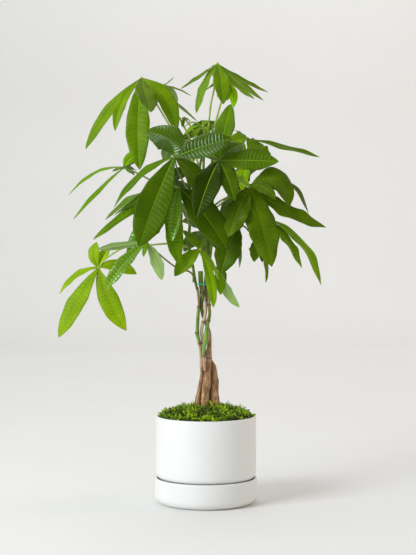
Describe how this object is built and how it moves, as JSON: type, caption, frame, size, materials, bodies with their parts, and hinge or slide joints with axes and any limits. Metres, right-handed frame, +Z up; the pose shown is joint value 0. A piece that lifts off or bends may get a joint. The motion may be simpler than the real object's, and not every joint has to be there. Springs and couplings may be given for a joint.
{
  "type": "potted money tree",
  "caption": "Braided money tree with palmate leaves in a plain white cylindrical pot on a matching saucer, with moss over the soil.",
  "frame": {"origin": "centre of the saucer's flat underside", "axes": "+Z up along the pot and the trunk; -Y is the front"},
  "size_m": [0.4329, 0.2981, 0.7234],
  "materials": {
    "glaze": "white satin glaze",
    "soil": "dark potting soil",
    "moss": "bright green moss fronds",
    "bark": "brown bark with leaf scars, green higher up",
    "green_stem": "smooth green shoot",
    "tie": "teal plant tie",
    "leaf_bright": "young yellow-green leaf with a soft gloss",
    "leaf_dark": "mature dark green glossy leaf"
  },
  "bodies": {
    "root": {"leaf_back_high": "leaf_dark", "leaf_back_left": "leaf_dark", "leaf_back_low": "leaf_dark", "leaf_back_right": "leaf_dark", "leaf_back_upper": "leaf_bright", "leaf_bottom_left": "leaf_bright", "leaf_bottom_middle": "leaf_bright", "leaf_bottom_small": "leaf_dark", "leaf_bud": "leaf_bright", "leaf_centre": "leaf_dark", "leaf_centre_low": "leaf_dark", "leaf_far_left": "leaf_dark", "leaf_far_right": "leaf_dark", "leaf_front_left": "leaf_dark", "leaf_front_low": "leaf_dark", "leaf_left_inner": "leaf_dark", "leaf_left_low": "leaf_dark", "leaf_right": "leaf_dark", "leaf_right_low": "leaf_dark", "leaf_top_left": "leaf_bright", "leaf_top_left_back": "leaf_bright", "leaf_top_middle": "leaf_dark", "leaf_top_right": "leaf_bright", "leaf_upper_right": "leaf_dark", "leaf_young": "leaf_bright", "moss": "moss", "pot": "glaze", "saucer": "glaze", "soil": "soil", "stem_centre": "bark", "stem_front": "green_stem", "stem_left": "bark", "stem_right": "bark", "tie": "tie"}
  },
  "joints": []
}
